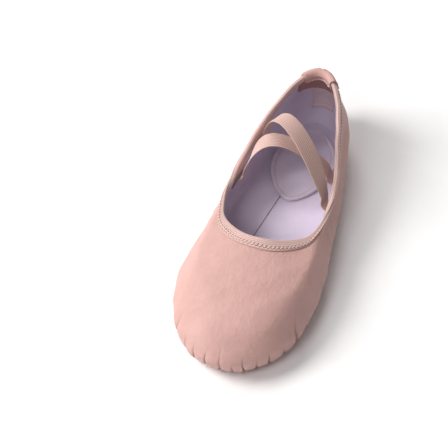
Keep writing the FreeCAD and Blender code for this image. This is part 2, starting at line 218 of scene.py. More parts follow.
def pleat_relief(angle, level):
    """How far the gathers round the toe stand out of the smooth leather, or dip into it."""
    turn = signed_angle(angle)
    away = np.abs(turn)
    draw = np.random.default_rng(SEED)
    numbers = np.arange(PLEATS + 3) - 1
    shifts = draw.uniform(-PLEAT_SHIFT, PLEAT_SHIFT, PLEATS + 3)
    depths = draw.uniform(*PLEAT_DEPTHS, PLEATS + 3)
    # The toe end of a ring is blunter than its angle says, so pleats are spread by arc length.
    near = np.clip(turn, -QUARTER, QUARTER)
    arc = np.sin(near * BLUNT_TOE) / math.sin(BLUNT_TOE * QUARTER)
    arc = np.where(away > QUARTER, np.sign(turn) * (away / QUARTER), arc)
    place = (arc / (PLEAT_SPAN / QUARTER) + 1) / 2 * PLEATS
    sway = 0.10 * np.sin(level * 9 + place * 1.7)
    place = place + sway + np.interp(place, numbers, shifts)
    index = np.clip(np.floor(place).astype(int) + 1, 0, PLEATS + 2)
    inside = np.abs(place - np.floor(place) - 0.5) * 2
    ridge = 0.4 - 0.5 * inside**2 - 2.4 * inside**12
    reach = np.interp(place, numbers, draw.uniform(*PLEAT_TOPS, PLEATS + 3))
    fade = (1 - ease(reach - 0.2, reach, level)) * ease(0.10, 0.20, level)
    round_toe = 1 - 0.55 * ease(0.4, 1.1, away) - 0.45 * ease(1.2, PLEAT_SPAN, away)
    tuck = 1 + 0.6 * hill(level, 0.36, 0.08)
    return ridge * depths[index] * fade * round_toe * tuck


def arch_lift(y):
    return ARCH_LIFT * hill(y, ARCH_Y, ARCH_HALF)


def leather_relief(angle, level):
    """All the uneven shape of the soft leather, as a distance out of the smooth skin."""
    points = smooth_skin(angle, level)
    x, y, z = points[..., 0], points[..., 1], points[..., 2]
    uneven = 0.55 * soft_noise(points, 46, 1) + 0.22 * soft_noise(points, 17, 2)
    relief = uneven * ease(0.05, 0.3, level) + pleat_relief(angle, level)
    # A dent near the toe and a soft valley between the vamp and the gathers beside it.
    dent = np.hypot((x + 20) / 9, (y + 92) / 6)
    relief -= DENT_DEPTH * hill(dent, 0, 1) * ease(0.45, 0.6, level)
    relief -= VALLEY_DEPTH * (hill(level, 0.55, 0.07) * hill(signed_angle(angle), 0.6, 0.5))
    # Cross wrinkles where the soft arch folds.
    fold = np.sin(y * 0.62 + z * 0.08 + 1.3 * np.sin(z * 0.13)) * hill(y, 4, 17)
    relief += WRINKLE_HEIGHT * fold * ease(0.2, 0.4, level) * (1 - ease(0.6, 0.85, level))
    # The arch lifts a little off the floor.
    relief -= arch_lift(y) * (1 - ease(0.24, 0.36, level))
    return relief


def seam_relief(angle, level):
    """The centre seam under the arch and the back seam of the heel, on the outside only."""
    points = smooth_skin(angle, level)
    x, y = points[..., 0], points[..., 1]
    under = (y > -14) * (y < 60) * (level < 0.2)
    back = (y > 90) * ease(0.32, 0.4, level)
    return (under + back) * (SEAM_RIDGE * hill(np.abs(x), 1.5, 0.8) - SEAM_GROOVE * hill(x, 0, 0.5))


def layer(angle, level, depth):
    """Points of a layer at a depth in the wall; all the layers share the leather's relief."""
    angle, level = np.broadcast_arrays(np.asarray(angle, float), np.asarray(level, float))
    out = skin_frame(angle, level)[2]
    outside = np.asarray(depth) < LEATHER / 2
    rise = leather_relief(angle, level) + seam_relief(angle, level) * outside - depth
    return smooth_skin(angle, level) + out * rise[..., None]


# ---------------- meshes


def add_object(name, vertices, faces):
    mesh = bpy.data.meshes.new(name)
    mesh.from_pydata([tuple(v) for v in vertices], [], faces)
    mesh.validate()
    for polygon in mesh.polygons:
        polygon.use_smooth = True
    piece = bpy.data.objects.new(name, mesh)
    bpy.context.scene.collection.objects.link(piece)
    return piece


WELD_DISTANCE = 2e-6


def weld(piece):
    """Join points that lie on each other, and turn the faces outward."""
    work = bmesh.new()
    work.from_mesh(piece.data)
    bmesh.ops.remove_doubles(work, verts=work.verts, dist=WELD_DISTANCE)
    bmesh.ops.dissolve_degenerate(work, edges=work.edges, dist=WELD_DISTANCE / 2)
    bmesh.ops.recalc_face_normals(work, faces=work.faces)
    work.to_mesh(piece.data)
    work.free()
    for polygon in piece.data.polygons:
        polygon.use_smooth = True
    return piece


def grid_faces(rows, columns, start, close_rows=False, close_columns=False):
    """Quads over a grid of points, row after row."""
    faces = []
    for i in range(rows if close_rows else rows - 1):
        here = start + i * columns
        there = start + (i + 1) % rows * columns
        for j in range(columns if close_columns else columns - 1):
            k = (j + 1) % columns
            faces.append((here + j, there + j, there + k, here + k))
    return faces


def grid_object(name, points, loop=False, ribs=None):
    """A piece from rows of closed outlines in millimetres: a loop, or with both ends filled."""
    rows, columns = points.shape[:2]
    faces = grid_faces(rows, columns, 0, close_rows=loop, close_columns=True)
    if not loop:
        faces.append(tuple(range(columns))[::-1])
        faces.append(tuple((rows - 1) * columns + j for j in range(columns)))
    piece = add_object(name, points.reshape(-1, 3) * MM, faces)
    if ribs is not None:
        paint(piece, "rib", ribs)
    return weld(piece)


def ring_angles(count):
    """Angles round the slipper, closer together round the toe where the gathers are."""
    even = np.linspace(0, 2 * math.pi, count, endpoint=False)
    return even - 0.42 * np.sin(even)


def wall_levels(count):
    """Levels from the sole seam to the top, closer together round the floor edge."""
    return np.interp(np.linspace(0, 1, count), (0.0, 0.15, 0.62, 1.0), (0.0, 0.13, 0.52, 1.0))


def two_faced(name, outer, inner, rim, close_rows):
    """A closed piece from two like grids of points, joined along a rim of point numbers."""
    rows, columns = outer.shape[:2]
    count = rows * columns
    faces = grid_faces(rows, columns, 0, close_rows)
    faces += [face[::-1] for face in grid_faces(rows, columns, count, close_rows)]
    faces += [(a, b, count + b, count + a) for a, b in zip(rim, rim[1:] + rim[:1])]
    points = np.concatenate([outer.reshape(-1, 3), inner.reshape(-1, 3)])
    return add_object(name, points * MM, faces)


def thin_layer(name, outer_depth, inner_depth):
    """A closed skin round the whole slipper, open at the topline, with its raw edge."""
    angles, levels = WALL_GRID
    spread_angles = ring_angles(angles)
    tops = below_rim(spread_angles, RAW_EDGE)
    grid_a = np.repeat(spread_angles[:, None], levels, axis=1)
    grid_v = wall_levels(levels)[None, :] * tops[:, None]
    outer = layer(grid_a, grid_v, outer_depth)
    inner = layer(grid_a, grid_v, inner_depth)
    # Both sides meet exactly in the middle of the sole.
    for grid in (outer, inner):
        grid[:, 0, 0] = 0.0
    rim = [i * levels + levels - 1 for i in range(angles)]
    piece = two_faced(name, outer, inner, rim, close_rows=True)
    # How deep each point lies in a gather's valley; the leather darkens it there as painted shade.
    paint(piece, "fold", np.tile(np.clip(-pleat_relief(grid_a, grid_v), 0, 1).ravel(), 2))
    return weld(piece)


# Points on each half-round end of a section.
END_POINTS = 3


def path_ways(path):
    """The way along a flat path and the way to its left, at each of its points."""
    way = unit(np.gradient(path, axis=0))
    return way, np.stack([-way[:, 1], way[:, 0]], 1)


def rounded_section(middle, thick):
    """A closed outline round a path of (a, b) points: thick, with half-round ends."""
    way, side = path_ways(middle)
    half = thick / 2
    turns = np.linspace(0, math.pi, END_POINTS + 2)[1:-1]
    cos, sin = np.cos(turns)[:, None], np.sin(turns)[:, None]
    head = middle[-1] + half * (cos * side[-1] + sin * way[-1])
    tail = middle[0] - half * (cos * side[0] + sin * way[0])
    return np.concatenate([middle + side * half, head, (middle - side * half)[::-1], tail])


def rim_fold(outside, inside, low_out, low_in, bulge, steps):
    """A path over the rim as (distance below it, depth): up outside, over, down inside."""
    reach = (inside - outside) / 2
    middle = (inside + outside) / 2
    top = reach - bulge
    turns = np.linspace(0, math.pi, 12)[1:-1]
    up = [(distance, outside) for distance in np.linspace(low_out, top, steps)]
    over = [(top - reach * math.sin(t), middle - reach * math.cos(t)) for t in turns]
    down = [(distance, inside) for distance in np.linspace(top, low_in, steps)]
    return np.array(up + over + down)


def tubes(name, paths, radius, sides):
    """One piece made of many short round threads, each along a path of points."""
    vertices, faces = [], []
    turns = np.linspace(0, 2 * math.pi, sides, endpoint=False)
    for path in paths:
        path = np.asarray(path, float)
        way = unit(np.gradient(path, axis=0))
        guide = np.array([0.0, 0.0, 1.0]) if abs(way[0][2]) < 0.8 else np.array([1.0, 0.0, 0.0])
        side = unit(np.cross(way, guide))
        other = np.cross(way, side)
        start = len(vertices)
        taper = np.ones(len(path))
        taper[[0, -1]] = 0.55
        for point, a, b, size in zip(path, side, other, taper):
            for t in turns:
                vertices.append((point + radius * size * (math.cos(t) * a + math.sin(t) * b)) * MM)
        faces += grid_faces(len(path), sides, start, close_columns=True)
        faces.append(tuple(range(start, start + sides))[::-1])
        end = start + (len(path) - 1) * sides
        faces.append(tuple(range(end, end + sides)))
    return add_object(name, vertices, faces)


def stitch_path(start, end, out, height, dip):
    """A thread that comes up at start, lies on the surface and goes down at end."""
    path = []
    for t in (0.0, 0.12, 0.35, 0.65, 0.88, 1.0):
        lift = height * math.sin(math.pi * t) ** 0.5 - dip * (abs(2 * t - 1) ** 4)
        path.append(start + (end - start) * t + out * lift)
    return path


def running_stitches(places, gap, out, height, dip):
    """A thread from each needle hole to the next, short of both by a share of the way."""
    return [
        stitch_path(a + (b - a) * gap, b - (b - a) * gap, out, height, dip)
        for a, b in zip(places, places[1:])
    ]


def travelled(line):
    """How far each point of a line is from its start, along the line."""
    return np.concatenate([[0], np.cumsum(np.linalg.norm(np.diff(line, axis=0), axis=1))])


def even_walk(line, pitch):
    """Places about a pitch apart along a line of points, as shares of the line's points."""
    length = travelled(line)
    count = max(int(round(length[-1] / pitch)), 1)
    marks = np.linspace(0, length[-1], count + 1)
    return np.interp(marks, length, np.linspace(0, 1, len(length)))


# ---------------- materials


class Nodes:
    """A short way to build a material's nodes."""

    def __init__(self, name):
        self.material = bpy.data.materials.new(name)
        self.material.use_nodes = True
        self.tree = self.material.node_tree
        self.shader = self.tree.nodes["Principled BSDF"]
        self.coords = self.add("ShaderNodeTexCoord").outputs["Object"]

    def add(self, kind, **settings):
        node = self.tree.nodes.new(kind)
        for key, value in settings.items():
            setattr(node, key, value)
        return node

    def link(self, start, end):
        self.tree.links.new(start, end)

    def feed(self, socket, value):
        """Set a socket to a value, or link another node's output to it."""
        if isinstance(value, (float, tuple)):
            socket.default_value = value
        else:
            self.link(value, socket)

    def noise(self, scale, detail, rough=0.55, stretch=None):
        node = self.add("ShaderNodeTexNoise")
        node.inputs["Scale"].default_value = scale
        node.inputs["Detail"].default_value = detail
        node.inputs["Roughness"].default_value = rough
        coords = self.coords
        if stretch:
            mapping = self.add("ShaderNodeMapping")
            mapping.inputs["Scale"].default_value = stretch
            self.link(coords, mapping.inputs["Vector"])
            coords = mapping.outputs["Vector"]
        self.link(coords, node.inputs["Vector"])
        return node.outputs["Fac"]

    def cells(self, scale):
        node = self.add("ShaderNodeTexVoronoi", feature="DISTANCE_TO_EDGE")
        node.inputs["Scale"].default_value = scale
        self.link(self.coords, node.inputs["Vector"])
        return node.outputs["Distance"]

    def ramp(self, value, stops):
        node = self.add("ShaderNodeValToRGB")
        while len(node.color_ramp.elements) < len(stops):
            node.color_ramp.elements.new(0.5)
        for element, (place, colour) in zip(node.color_ramp.elements, stops):
            element.position = place
            element.color = colour if len(colour) == 4 else (*colour, 1.0)
        self.link(value, node.inputs["Fac"])
        return node.outputs["Color"]

    def maths(self, operation, a, b):
        node = self.add("ShaderNodeMath", operation=operation)
        self.feed(node.inputs[0], a)
        self.feed(node.inputs[1], b)
        return node.outputs["Value"]

    def mix(self, share, a, b, blend="MIX"):
        node = self.add("ShaderNodeMix", data_type="RGBA", blend_type=blend)
        self.feed(node.inputs[0], share)
        self.feed(node.inputs[6], a)
        self.feed(node.inputs[7], b)
        return node.outputs[2]

    def bump(self, height, distance, strength, under=None):
        node = self.add("ShaderNodeBump")
        node.inputs["Distance"].default_value = distance
        node.inputs["Strength"].default_value = strength
        self.link(height, node.inputs["Height"])
        if under:
            self.link(under, node.inputs["Normal"])
        return node.outputs["Normal"]

    def finish(self, colour, normal, roughness, sheen=0.0, specular=0.4):
        shader = self.shader
        self.link(colour, shader.inputs["Base Color"])
        self.link(normal, shader.inputs["Normal"])
        self.feed(shader.inputs["Roughness"], roughness)
        shader.inputs["Specular IOR Level"].default_value = specular
        shader.inputs["Sheen Weight"].default_value = sheen
        shader.inputs["Sheen Roughness"].default_value = 0.45
        return self.material


PORES_PER_METRE = 1500.0


def tint(red, green, blue):
    """A colour given as it looks on a screen, 0 to 255, for a shader."""
    return tuple(((c / 255 + 0.055) / 1.055) ** 2.4 for c in (red, green, blue)) + (1.0,)


def leather_material(name, light, dark):
    n = Nodes(name)
    broad = n.noise(26.0, 3.0)
    fine = n.noise(260.0, 4.0)
    colour = n.ramp(broad, [(0.3, dark), (0.7, light)])
    colour = n.mix(0.16, colour, n.ramp(fine, [(0.3, tint(186, 140, 130)), (0.7, light)]))
    # Painted shade: the leather is darkened by how deep each point lies in a gather's valley.
    fold = n.add("ShaderNodeAttribute", attribute_name="fold").outputs["Fac"]
    colour = n.mix(n.maths("MULTIPLY", fold, 0.8), colour, tint(120, 78, 76))
    pores = n.cells(PORES_PER_METRE)
    pore_height = n.ramp(pores, [(0.0, (0, 0, 0)), (0.22, (1, 1, 1))])
    wrinkle = n.noise(120.0, 3.0, stretch=(1.0, 0.5, 1.0))
    crinkle = n.noise(430.0, 2.0, 0.5, stretch=(1.0, 0.6, 1.0))
    normal = n.bump(wrinkle, 0.0007, 0.6)
    normal = n.bump(crinkle, 0.0005, 0.55, normal)
    normal = n.bump(pore_height, 0.00015, 0.6, normal)
    roughness = n.ramp(fine, [(0.2, (0.45,) * 3), (0.8, (0.6,) * 3)])
    return n.finish(colour, normal, roughness, sheen=0.08, specular=0.35)


def suede_material():
    n = Nodes("suede_sole")
    broad = n.noise(40.0, 4.0)
    nap = n.noise(1400.0, 5.0, 0.7)
    colour = n.ramp(broad, [(0.25, tint(192, 148, 136)), (0.75, tint(210, 168, 156))])
    tips = n.ramp(nap, [(0.3, tint(170, 128, 118)), (0.7, tint(222, 182, 170))])
    colour = n.mix(0.35, colour, tips)
    normal = n.bump(nap, 0.00035, 0.55)
    return n.finish(colour, normal, 0.93, sheen=0.35, specular=0.15)


def weave_material(name, light, dark, scale, height):
    """Plain woven cotton: threads over and under, from two crossed waves."""
    n = Nodes(name)
    waves = []
    for direction in ("X", "Y", "Z"):
        wave = n.add("ShaderNodeTexWave", wave_type="BANDS", bands_direction=direction)
        wave.inputs["Scale"].default_value = scale
        wave.inputs["Distortion"].default_value = 0.4
        wave.inputs["Detail"].default_value = 2.0
        n.link(n.coords, wave.inputs["Vector"])
        waves.append(wave.outputs["Fac"])
    cloth = n.maths("MULTIPLY", waves[1], n.maths("MAXIMUM", waves[0], waves[2]))
    broad = n.noise(30.0, 3.0)
    colour = n.ramp(broad, [(0.3, dark), (0.7, light)])
    colour = n.mix(0.08, colour, n.ramp(cloth, [(0.1, dark), (0.6, light)]), "MULTIPLY")
    wrinkle = n.noise(70.0, 3.0)
    normal = n.bump(wrinkle, 0.0006, 0.3)
    normal = n.bump(cloth, height, 0.3, normal)
    return n.finish(colour, normal, 0.9, sheen=0.25, specular=0.2)


def ribbed_material(name, light, dark, valley):
    """Tape or elastic: the ribs are in the mesh, the yarn is fine noise, and the grooves between
    the ribs are painted darker as painted shade.
    """
    n = Nodes(name)
    yarn = n.noise(1700.0, 3.0, 0.6)
    broad = n.noise(45.0, 2.0)
    colour = n.ramp(broad, [(0.3, dark), (0.7, light)])
    colour = n.mix(0.30, colour, n.ramp(yarn, [(0.3, valley), (0.65, light)]))
    # The rib attribute darkens the grooves towards the valley colour: painted shade.
    ribs = n.add("ShaderNodeAttribute", attribute_name="rib").outputs["Fac"]
    colour = n.mix(n.maths("MULTIPLY", ribs, 0.55), colour, valley)
    normal = n.bump(yarn, 0.0002, 0.5)
    return n.finish(colour, normal, 0.82, sheen=0.3, specular=0.25)


def thread_material(name, light, dark):
    n = Nodes(name)
    twist = n.noise(2600.0, 2.0)
    colour = n.ramp(twist, [(0.3, dark), (0.7, light)])
    normal = n.bump(twist, 0.00012, 0.6)
    return n.finish(colour, normal, 0.62, sheen=0.2, specular=0.4)


# The needle holes are dark brown tubes sunk into the surfaces, mottled with noise: painted shade
# inside the holes.
def hole_shade_material():
    n = Nodes("needle_hole")
    shade_mottle = n.noise(900.0, 2.0)
    colour = n.ramp(shade_mottle, [(0.3, tint(64, 30, 28)), (0.7, tint(92, 52, 46))])
    normal = n.bump(shade_mottle, 0.0001, 0.4)
    return n.finish(colour, normal, 0.95, specular=0.1)


LEATHER_MATERIAL = leather_material("pink_leather", tint(213, 171, 163), tint(202, 160, 152))
# The facing is a darker copy of the pink leather: painted shade of the heel's inner face.
SHADED_FACING_MATERIAL = leather_material("facing_leather", tint(172, 128, 124), tint(158, 114, 110))
SUEDE_MATERIAL = suede_material()
LINING_MATERIAL = weave_material(
    "lining_cotton", tint(218, 208, 224), tint(204, 193, 211), 260.0, 0.00025
)
INSOLE_MATERIAL = weave_material(
    "insole_cotton", tint(216, 206, 220), tint(200, 190, 206), 230.0, 0.0003
)
# The third colour of each ribbed material is the dark of its yarn, and also the painted shade of
# its rib grooves.
BINDING_MATERIAL = ribbed_material(
    "binding_tape", tint(228, 198, 190), tint(216, 186, 178), tint(140, 100, 94)
)
ELASTIC_MATERIAL = ribbed_material(
    "elastic", tint(226, 194, 184), tint(214, 180, 170), tint(150, 112, 106)
)
SEAM_TAPE_MATERIAL = ribbed_material(
    "seam_tape", tint(226, 206, 210), tint(212, 192, 200), tint(180, 156, 164)
)
THREAD_MATERIAL = thread_material("sewing_thread", tint(246, 220, 212), tint(228, 194, 186))
# The lining seam's darker lilac thread is partly painted shade of the groove along the seam.
SHADED_SEAM_MATERIAL = thread_material("lining_seam", tint(166, 148, 168), tint(136, 118, 138))
HOLE_SHADE_MATERIAL = hole_shade_material()


def dress(piece, material):
    piece.data.materials.append(material)


def sew(name, paths, radius=THREAD_RADIUS):
    """One piece of sewing thread made of many stitches."""
    thread = tubes(name, paths, radius, 6)
    dress(thread, THREAD_MATERIAL)
    return thread


def pierce(name, holes, radius, sides):
    """Dark tubes in the needle holes of a row of stitches, painted as the shade inside the holes.
    """
    hole = tubes(name, holes, radius, sides)
    dress(hole, HOLE_SHADE_MATERIAL)
    return hole


def paint(piece, name, values):
    """Keep, at each point of the mesh, how deep it lies between ribs or in a fold, 0 to 1; the
    materials darken these places as painted shade.
    """
    attribute = piece.data.attributes.new(name, "FLOAT", "POINT")
    attribute.data.foreach_set("value", np.asarray(values, dtype=np.float32).ravel())


# ---------------- placing the soft parts


def bend_at_arch(piece):
    """The piece's placement is baked into its mesh."""
    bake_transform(piece)


# ---------------- upper, lining, insoles


def make_upper():
    piece = thin_layer("upper_leather", 0.0, LEATHER)
    dress(piece, LEATHER_MATERIAL)
    bend_at_arch(piece)
    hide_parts("upper_front", "upper_waist", "upper_rear")


def make_lining():
    piece = thin_layer("lining", LINING_OUT, LINING_IN)
    dress(piece, LINING_MATERIAL)
    bend_at_arch(piece)
    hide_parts("lining_front", "lining_waist", "lining_rear")


def make_lining_seam():
    """The seam of the lining along the arch, left of the middle, between the two insoles; its
    darker thread is partly painted shade of the seam's groove.
    """
    angles = np.linspace(-1.38, -2.0, 60)
    levels = np.linspace(0.12, 0.055, 60)
    ridge = layer(angles, levels, LINING_IN + 0.1)
    seam = tubes("lining_seam", [ridge], 0.38, 8)
    dress(seam, SHADED_SEAM_MATERIAL)
    bend_at_arch(seam)


# The forefoot insole: where it starts and ends, how far in it lies, how round its ends are.
INSOLE_ENDS = (-100.0, -13.0)
INSOLE_INSET = 12.0
INSOLE_ROUND = (30.0, 8.0)


def insole_outline():
    """The plan of the forefoot insole as (x, y) points: the sole's edge moved inward."""
    edge = ring_points(RINGS[2], np.linspace(0, math.pi, 400))
    toe_y, heel_y = INSOLE_ENDS
    ys = toe_y + (heel_y - toe_y) * (1 - np.cos(np.linspace(0, math.pi, 220))) / 2
    low, high = edge[0, 1], edge[-1, 1]
    spread = np.interp(ys, (low + INSOLE_INSET, high - INSOLE_INSET), (low, high))
    half = np.maximum(np.interp(spread, edge[:, 1], edge[:, 0]) - INSOLE_INSET, 0)
    for distance, size in zip((ys - toe_y, heel_y - ys), INSOLE_ROUND):
        near = np.clip(distance / size, 0, 1)
        half = half * np.sqrt(np.maximum(1 - (1 - near) ** 2, 0))
    return np.concatenate([np.stack([half, ys], 1), np.stack([-half, ys], 1)[-2:0:-1]])


def moved_inward(outline, share, inset, z):
    """An outline scaled to a share of its size, less an inset, at a height."""
    centre = outline.mean(axis=0)
    ray = outline - centre
    reach = np.linalg.norm(ray, axis=1, keepdims=True)
    return np.column_stack([centre + ray * share * (1 - inset / reach), np.full(len(ray), z)])


def plate(name, outline, rings, relief):
    """A flat piece from an outline and rings of (share, inset, z), from middle to middle."""
    rows = np.stack([moved_inward(outline, *ring) for ring in rings])
    return grid_object(name, relief(rows))


RINGS_START = 12.0
GROOVE_HALF = 0.42


def rounded_rings(low, high, edge, steps, rows):
    """Rings up the rounded edge of a plate; rows are (inset, depth) grooves in its low face."""
    rings = [(share, RINGS_START, low) for share in np.linspace(0.02, 0.97, steps)]
    for inset in np.arange(RINGS_START, edge, -0.22):
        grooves = sum(deep * hill(inset, row, GROOVE_HALF) for row, deep in rows)
        rings.append((1.0, inset, low + grooves))
    middle, half = (low + high) / 2, (high - low) / 2
    for turn in np.linspace(-QUARTER, QUARTER, 9):
        rings.append((1.0, edge * (1 - math.cos(turn)), middle + half * math.sin(turn)))
    rings += [(1.0, inset, high) for inset in (2.0, 4.0, 8.0)]
    rings += [(share, 8.0, high) for share in (0.8, 0.4, 0.02)]
    return rings


def stitch_places(outline, inset, z, pitch):
    """Evenly spaced needle holes along an outline moved inward, at a height."""
    row = moved_inward(outline, 1.0, inset, z)
    closed = np.vstack([row, row[:1]])
    marks = even_walk(closed, pitch)
    shares = np.linspace(0, 1, len(closed))
    return np.stack([np.interp(marks, shares, closed[:, k]) for k in range(3)], 1)


def make_insole(name, node, outline, body):
    low, high = (corner[2] * 1000 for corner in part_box(node))
    rings = rounded_rings(high + 0.25, low, 1.1, 16, rows=((INSOLE_ROW_INSET, -0.45),))

    def relief(points):
        noise = soft_noise(points, 22, 5) * 0.18 + soft_noise(points, 9, 6) * 0.06
        points[..., 2] += noise * (points[..., 2] > (low + high) / 2)
        return points

    piece = plate(name, outline, rings, relief)
    dress(piece, INSOLE_MATERIAL)
    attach(piece, body)
    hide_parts(node)
    places = stitch_places(outline, INSOLE_ROW_INSET, high, INSOLE_PITCH)
    threads = running_stitches(places, 0.14, UP, 0.16, 0.3)
    thread = sew(f"{name}_stitches", threads)
    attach(thread, body)


def make_insoles():
    make_insole("insole_cover_forefoot", "insole_forefoot", insole_outline(), "forefoot")
    make_insole("insole_cover_heel", "insole_heel", pad_outline(HEEL_INSOLE), "heel")


# ---------------- sole pads


def pad_outline(pad):
    """An egg outline, as (x, y) points."""
    toe_y, heel_y, half_wide, widest = pad
    power = math.log(0.5) / math.log(widest)
    angle = np.linspace(0, 2 * math.pi, 260, endpoint=False)
    share = (1 - np.cos(angle)) / 2
    swell = np.sin(math.pi * share**power)
    roundness = np.sqrt(np.maximum(share * (1 - share), 0)) * 2
    side = np.where(np.sin(angle) >= 0, 1.0, -1.0)
    x = side * half_wide * (PAD_SWELL * swell + (1 - PAD_SWELL) * roundness)
    return np.stack([x, toe_y + (heel_y - toe_y) * share], 1)


def make_pad(name, node, pad, insets, body, stitch_nodes):
    outline = pad_outline(pad)
    rings = rounded_rings(0.0, PAD_THICK, 0.8, 26, rows=[(inset, 0.75) for inset in insets])

    def relief(points):
        noise = np.abs(soft_noise(points, 12, 8)) * 0.12 + np.abs(soft_noise(points, 4, 9)) * 0.05
        points[..., 2] += noise * (points[..., 2] < PAD_THICK / 2)
        return points

    piece = plate(name, outline, rings, relief)
    dress(piece, SUEDE_MATERIAL)
    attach(piece, body)
    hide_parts(node)
    for inset, stitch_node in zip(insets, stitch_nodes):
        places = stitch_places(outline, inset, SOLE_ROW_Z, SOLE_PITCH)
        threads = running_stitches(places, 0.16, DOWN, 0.28, 0.4)
        thread = sew(f"{name}_row_{int(inset)}", threads, 0.3)
        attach(thread, body)
        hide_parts(stitch_node)
        # A dark tube sunk in each needle hole: painted shade.
        holes = [[p + DOWN * 0.12, p - DOWN * 0.5] for p in places[:-1]]
        hole = pierce(f"{name}_holes_{int(inset)}", holes, 0.46, 8)
        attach(hole, body)


def make_pads():
    make_pad(
        "sole_pad_forefoot", "forefoot_sole_pad", FOREFOOT_PAD, ROW_INSETS, "forefoot",
        ("forefoot_stitches_outer", "forefoot_stitches_inner"),
    )
    make_pad(
        "sole_pad_heel", "heel_sole_pad", HEEL_PAD, ROW_INSETS[:1], "heel", ("heel_pad_stitches",)
    )


def make_arch_seam():
    low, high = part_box("arch_seam_stitches")
    ys = np.arange(low[1] * 1000, high[1] * 1000, 2.6)
    paths = []
    for y in ys:
        z = SOLE_Z + arch_lift(y) + 0.1
        a = np.array([-0.9, y, z])
        b = np.array([0.9, y + 0.9, z])
        paths.append(stitch_path(a, b, DOWN, 0.2, 0.3))
    thread = sew("arch_seam_thread", paths)
    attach(thread, "heel")
    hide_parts("arch_seam_stitches")


# ---------------- topline: binding, cord, stitches


def band_points(angles, path, wave=0.0):
    """Points over the rim for (distance, depth) pairs at each angle; wave makes edges uneven."""
    distance, depth = path[:, 0], path[:, 1]
    ripple = wave * soft_noise(ring_points(RINGS[-1], angles), 24, 11)
    grid_d = distance + ripple[:, None] * (distance > 4)
    grid_a = angles[:, None]
    return layer(grid_a, below_rim(grid_a, grid_d), depth)


RIB_PITCH = 1.35
RIB_DEPTH = 0.2


def make_binding():
    outside = -TAPE_GAP - TAPE_THICK / 2
    inside = LINING_IN + TAPE_GAP + TAPE_THICK / 2
    path = rim_fold(outside, inside, BINDING_LOW, BINDING_LOW_INSIDE, 0.0, 30)
    # rib shapes the grooves of the tape and darkens them in its colour: painted shade.
    rib = (0.5 + 0.5 * np.cos(travelled(path) * 2 * math.pi / RIB_PITCH)) ** 2
    section = rounded_section(path, TAPE_THICK)
    count = len(path)
    back = slice(count + END_POINTS, 2 * count + END_POINTS)
    ribs = np.zeros(len(section))
    ribs[:count] = rib
    ribs[back] = rib[::-1]
    groove = path_ways(path)[1] * (rib * RIB_DEPTH)[:, None]
    section[:count] -= groove
    section[back] += groove[::-1]
    angles = ring_angles(600)
    points = band_points(angles, section, 0.22)
    piece = grid_object("binding", points, loop=True, ribs=np.tile(ribs, len(angles)))
    dress(piece, BINDING_MATERIAL)
    bend_at_arch(piece)
    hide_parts("binding_front", "binding_waist", "binding_rear")


# The cord inside the binding: how far below the rim, how deep in the wall, how thick.
CORD_PLACE = (1.75, 0.75)
CORD_RADIUS = 0.5


def make_topline_cord():
    turns = np.linspace(0, 2 * math.pi, 10, endpoint=False)
    low, deep = CORD_PLACE
    section = np.stack([low + CORD_RADIUS * np.cos(turns), deep + CORD_RADIUS * np.sin(turns)], 1)
    points = band_points(ring_angles(260), section)
    piece = grid_object("topline_cord", points, loop=True)
    dress(piece, THREAD_MATERIAL)
    bend_at_arch(piece)
    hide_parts("topline_cord_front", "topline_cord_waist", "topline_cord_rear")


def surface_stitches(name, starts, ends, depth, radius=THREAD_RADIUS, height=0.2, dip=0.3):
    """Threads on the wall between pairs of (angle, distance below the rim)."""
    paths = []
    for (a0, d0), (a1, d1) in zip(starts, ends):
        p0 = layer(a0, below_rim(a0, d0), depth)
        p1 = layer(a1, below_rim(a1, d1), depth)
        middle = (a0 + a1) / 2
        out = skin_frame(middle, below_rim(middle, (d0 + d1) / 2))[2]
        out = out if depth < LEATHER else -out
        paths.append(stitch_path(p0, p1, out, height, dip))
    return sew(name, paths, radius)


def topline_marks(distance, pitch, first=0.0, last=2 * math.pi):
    angles = np.linspace(first, last, 2400)
    line = smooth_skin(angles, below_rim(angles, distance))
    return first + even_walk(line, pitch) * (last - first)


# The slanted stitches start and end this far below the rim, and stop short of the heel tab.
BINDING_ROW = (7.3, 5.4)
BINDING_PITCH = 2.5
TAB_CLEAR = 0.47


def make_binding_stitches():
    low, high = BINDING_ROW
    marks = topline_marks(6.2, BINDING_PITCH)
    keep = [a for a in marks if abs(a - math.pi) > TAB_CLEAR]
    step = marks[1] - marks[0]
    starts = [(a, low) for a in keep]
    ends = [(a + step * 0.55, high) for a in keep]
    depth = -TAPE_GAP - TAPE_THICK
    thread = surface_stitches("binding_thread", starts, ends, depth, 0.28, 0.2, 0.25)
    bend_at_arch(thread)
    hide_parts("binding_stitches_front", "binding_stitches_rear")
    # A dark tube sunk in each needle hole: painted shade.
    holes = []
    for a, distance in starts + ends:
        level = below_rim(a, distance)
        out = skin_frame(a, level)[2]
        place = layer(a, level, depth)
        holes.append([place + out * 0.26, place - out * 0.3])
    hole = pierce("binding_needle_holes", holes, 0.44, 7)
    bend_at_arch(hole)


# ---------------- heel

# The casing folded over the heel: half its width, how thick and how low it is, how far it
# stands above the rim and off the binding.
TAB_HALF_ANGLE = 0.37
TAB_THICK = 1.05
TAB_LOW = 9.6
TAB_LOW_INSIDE = 6.4
TAB_RISE = 1.7
TAB_GAP = 0.75


